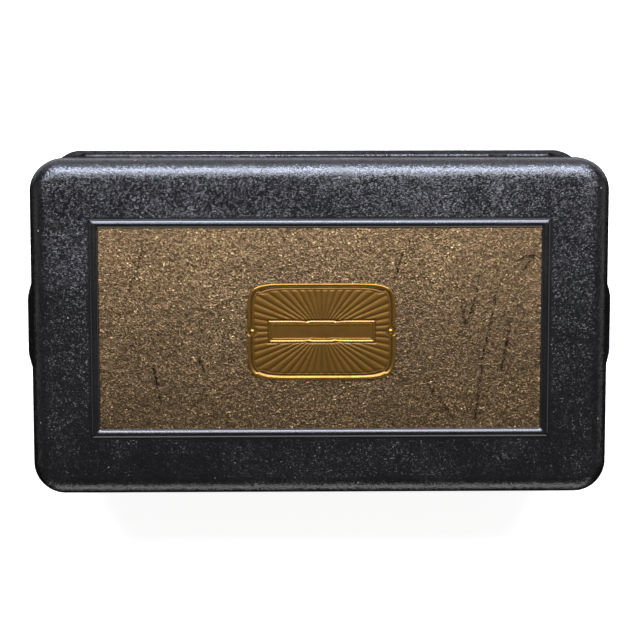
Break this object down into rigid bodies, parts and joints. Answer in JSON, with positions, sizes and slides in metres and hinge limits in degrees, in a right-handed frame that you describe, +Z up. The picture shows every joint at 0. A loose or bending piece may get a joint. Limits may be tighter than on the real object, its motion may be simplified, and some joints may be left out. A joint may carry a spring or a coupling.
{
  "type": "table radio receiver",
  "caption": "Pressed-steel table radio receiver with a lift-off beaded lid, badge plate, windowed tuning dial, volume knob, mains switch and a full valve chassis inside.",
  "frame": {"origin": "on the table, under the middle of the receiver's overall box", "axes": "+Z up, front with the knobs at -Y, +X to the right as seen from the front"},
  "size_m": [0.46, 0.2796, 0.1764],
  "materials": {
    "black_enamel": "black crystalline enamel, semi-gloss",
    "lid_enamel": "black crystalline enamel with a gold-bronze panel inside the bead",
    "black_steel": "thin black paint",
    "badge_brass": "aged, relief with dark ground",
    "escutcheon_brass": "aged bronze lacquer",
    "screw_steel": "dull plated",
    "rubber": "matt, hardened",
    "pane": "slightly yellowed clear sheet",
    "valve_glass": "clear with silvered crown",
    "brown_knob": "polished brown moulding",
    "shaft_brass": "turned",
    "plated_steel": "dull cadmium plate",
    "nickel": "nickel plate, slightly tarnished",
    "vane_aluminium": "matt sheet",
    "dial_celluloid": "ivory with dark graduations",
    "brown_card": "varnished card tube",
    "green_silk": "silk-covered wire, close wound",
    "valve_base": "dark brown moulding",
    "socket_board": "laminated board",
    "anode_nickel": "carbonised nickel",
    "laminations": "varnished steel laminations and paper-wrapped winding",
    "condenser_wax": "waxed paper block",
    "leak_glass": "lacquered cartridge with metal caps",
    "wire_cotton": "waxed cotton covering"
  },
  "bodies": {
    "case": {"case_front": "black_enamel", "case_rear": "black_enamel", "case_left": "black_enamel", "case_right": "black_enamel", "bottom_plate": "black_steel", "base_screws": "screw_steel", "rubber_feet": "rubber", "dial_escutcheon": "escutcheon_brass", "escutcheon_screws": "escutcheon_brass", "dial_window": "pane", "cord_grommet": "rubber", "tuning_bracket": "plated_steel", "volume_control": "plated_steel", "toggle_switch": "black_steel", "panel_nuts": "nickel", "pilot_lamp_holder": "shaft_brass", "pilot_lamp": "valve_glass", "chassis_pan": "plated_steel", "condenser_frame_1": "plated_steel", "condenser_frame_2": "plated_steel", "condenser_frame_3": "plated_steel", "condenser_stators": "vane_aluminium", "drive_belts": "shaft_brass", "coil_former_1": "brown_card", "coil_former_2": "brown_card", "coil_former_3": "brown_card", "coil_windings": "green_silk", "tube_sockets": "socket_board", "tube_bases": "valve_base", "tube_bulbs": "valve_glass", "tube_elements": "anode_nickel", "power_can": "black_steel", "mains_transformer": "laminations", "filter_condensers": "condenser_wax", "audio_transformer_1": "black_steel", "audio_transformer_2": "black_steel", "grid_leak": "leak_glass", "bypass_condensers": "condenser_wax", "terminal_strip": "socket_board", "terminal_studs": "nickel", "speaker_jacks": "nickel", "hookup_wires": "wire_cotton"},
    "lid": {"lid_shell": "lid_enamel", "badge_plate": "badge_brass", "badge_rivets": "badge_brass"},
    "tuning_drive": {"tuning_knob": "brown_knob", "tuning_shaft": "shaft_brass"},
    "tuner_middle": {"condenser_rotor_2": "vane_aluminium", "belt_pulley_2": "shaft_brass", "dial_disc": "dial_celluloid"},
    "tuner_left": {"condenser_rotor_1": "vane_aluminium", "belt_pulley_1": "shaft_brass"},
    "tuner_right": {"condenser_rotor_3": "vane_aluminium", "belt_pulley_3": "shaft_brass"},
    "volume_drive": {"volume_knob": "brown_knob", "volume_shaft": "shaft_brass"},
    "mains_toggle": {"toggle_lever": "nickel"},
    "long_antenna_nut": {"antenna_nut_long": "nickel"},
    "short_antenna_nut": {"antenna_nut_short": "nickel"},
    "earth_nut": {"ground_nut": "nickel"}
  },
  "joints": [
    {"name": "lid_lift", "type": "slide", "parent": "case", "child": "lid", "axis": [0, 0, 1], "range_m": [0, 0.2]},
    {"name": "middle_rotor_turn", "type": "hinge", "parent": "case", "child": "tuner_middle", "pos_m": [0, -0.0985, 0.088], "axis": [0, -1, 0], "range_deg": [0, 180]},
    {"name": "left_rotor_turn", "type": "hinge", "parent": "case", "child": "tuner_left", "pos_m": [-0.105, -0.0985, 0.088], "axis": [0, -1, 0], "range_deg": [0, 180]},
    {"name": "right_rotor_turn", "type": "hinge", "parent": "case", "child": "tuner_right", "pos_m": [0.105, -0.0985, 0.088], "axis": [0, -1, 0], "range_deg": [0, 180]},
    {"name": "tuning_turn", "type": "hinge", "parent": "case", "child": "tuning_drive", "pos_m": [0, -0.12, 0.0485], "axis": [0, 1, 0], "range_deg": [0, 1242]},
    {"name": "volume_turn", "type": "hinge", "parent": "case", "child": "volume_drive", "pos_m": [0.105, -0.12, 0.0485], "axis": [0, 1, 0], "range_deg": [0, 300]},
    {"name": "mains_switch_tilt", "type": "hinge", "parent": "case", "child": "mains_toggle", "pos_m": [-0.105, -0.12175, 0.0485], "axis": [-1, 0, 0], "range_deg": [0, 34]},
    {"name": "long_antenna_nut_turn", "type": "hinge", "parent": "case", "child": "long_antenna_nut", "pos_m": [-0.138, 0.11925, 0.053], "axis": [0, 1, 0], "range_deg": [0, 720]},
    {"name": "short_antenna_nut_turn", "type": "hinge", "parent": "case", "child": "short_antenna_nut", "pos_m": [-0.114, 0.11925, 0.053], "axis": [0, 1, 0], "range_deg": [0, 720]},
    {"name": "earth_nut_turn", "type": "hinge", "parent": "case", "child": "earth_nut", "pos_m": [-0.09, 0.11925, 0.053], "axis": [0, 1, 0], "range_deg": [0, 720]}
  ],
  "couplings": [
    {"joint": "left_rotor_turn", "follows": "middle_rotor_turn", "ratio": 1},
    {"joint": "right_rotor_turn", "follows": "middle_rotor_turn", "ratio": 1},
    {"joint": "tuning_turn", "follows": "middle_rotor_turn", "ratio": 6.9}
  ]
}
